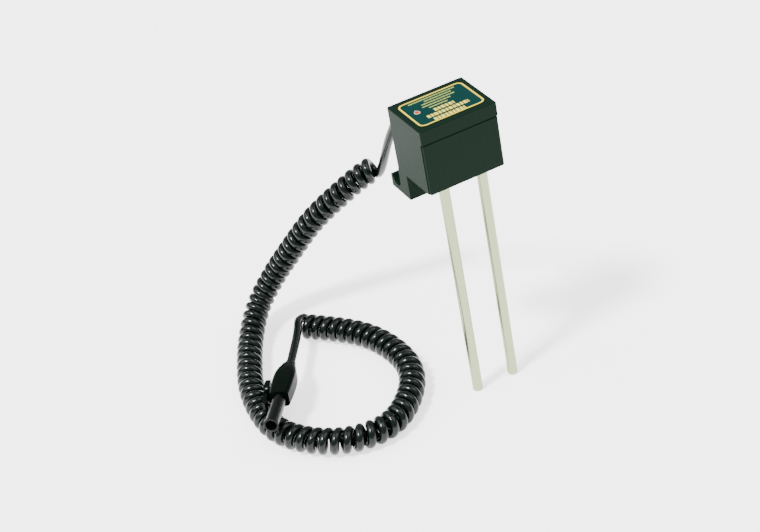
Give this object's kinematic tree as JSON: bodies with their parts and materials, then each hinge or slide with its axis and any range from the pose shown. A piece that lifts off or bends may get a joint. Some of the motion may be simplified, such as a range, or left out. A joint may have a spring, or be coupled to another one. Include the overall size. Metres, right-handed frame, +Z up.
{
  "type": "soil moisture sensor",
  "caption": "Soil moisture sensor: a small box with a top label and a hook, on two metal rods, with a curly cord and a latching plug.",
  "frame": {"origin": "midway between the two rod tips, at the level where they touch the ground", "axes": "+Z up along the rods, +X right along the box's width seen from the front cover, +Y back to the wall where the cord leaves"},
  "size_m": [0.1701, 0.1752, 0.1945],
  "materials": {
    "case_plastic": "satin",
    "seal_rubber": "matte",
    "fixing_steel": "satin",
    "label_print": "satin",
    "rod_steel": "satin",
    "bushing_plastic": "matte",
    "contact_brass": "satin",
    "wire_jacket": "matte",
    "board_laminate": "satin",
    "component_black": "matte",
    "can_metal": "satin",
    "component_tan": "satin",
    "trimmer_blue": "satin",
    "cord_jacket": "gloss",
    "plug_plastic": "satin",
    "shroud_metal": "satin"
  },
  "bodies": {
    "sensor": {"housing_shell": "case_plastic", "front_cover": "case_plastic", "base_plate": "case_plastic", "base_seal": "seal_rubber", "base_screws": "fixing_steel", "label_plate": "label_print", "rod_left": "rod_steel", "rod_right": "rod_steel", "rod_bushings": "bushing_plastic", "rod_seals": "seal_rubber", "rod_washers": "fixing_steel", "rod_terminals": "contact_brass", "rod_nuts": "fixing_steel", "rod_wires": "wire_jacket", "circuit_board": "board_laminate", "board_screws": "fixing_steel", "sensor_chip": "component_black", "crystal_can": "can_metal", "electrolytic_capacitors": "can_metal", "ceramic_capacitors": "component_tan", "resistors": "component_tan", "trimmer_pot": "trimmer_blue", "cord_header": "bushing_plastic", "cord_conductors": "wire_jacket", "cord_gland": "cord_jacket", "cord_crimp": "fixing_steel", "cord_inner_end": "cord_jacket", "cord_lead": "cord_jacket", "cord_coil": "cord_jacket", "cord_tail": "cord_jacket", "plug_boot": "cord_jacket", "plug_grip": "plug_plastic", "plug_shroud": "shroud_metal", "plug_insert": "component_black", "plug_contacts": "contact_brass", "latch_pin": "fixing_steel"},
    "latch": {"plug_latch": "plug_plastic"}
  },
  "joints": [
    {"name": "latch_hinge", "type": "hinge", "parent": "sensor", "child": "latch", "pos_m": [-0.12921, 0.05691, 0.02003], "axis": [-0.0519, -0.0757, -0.9958], "range_deg": [0, 7], "stiffness_Nm_per_rad": 0.02, "springref_deg": -5.73}
  ]
}
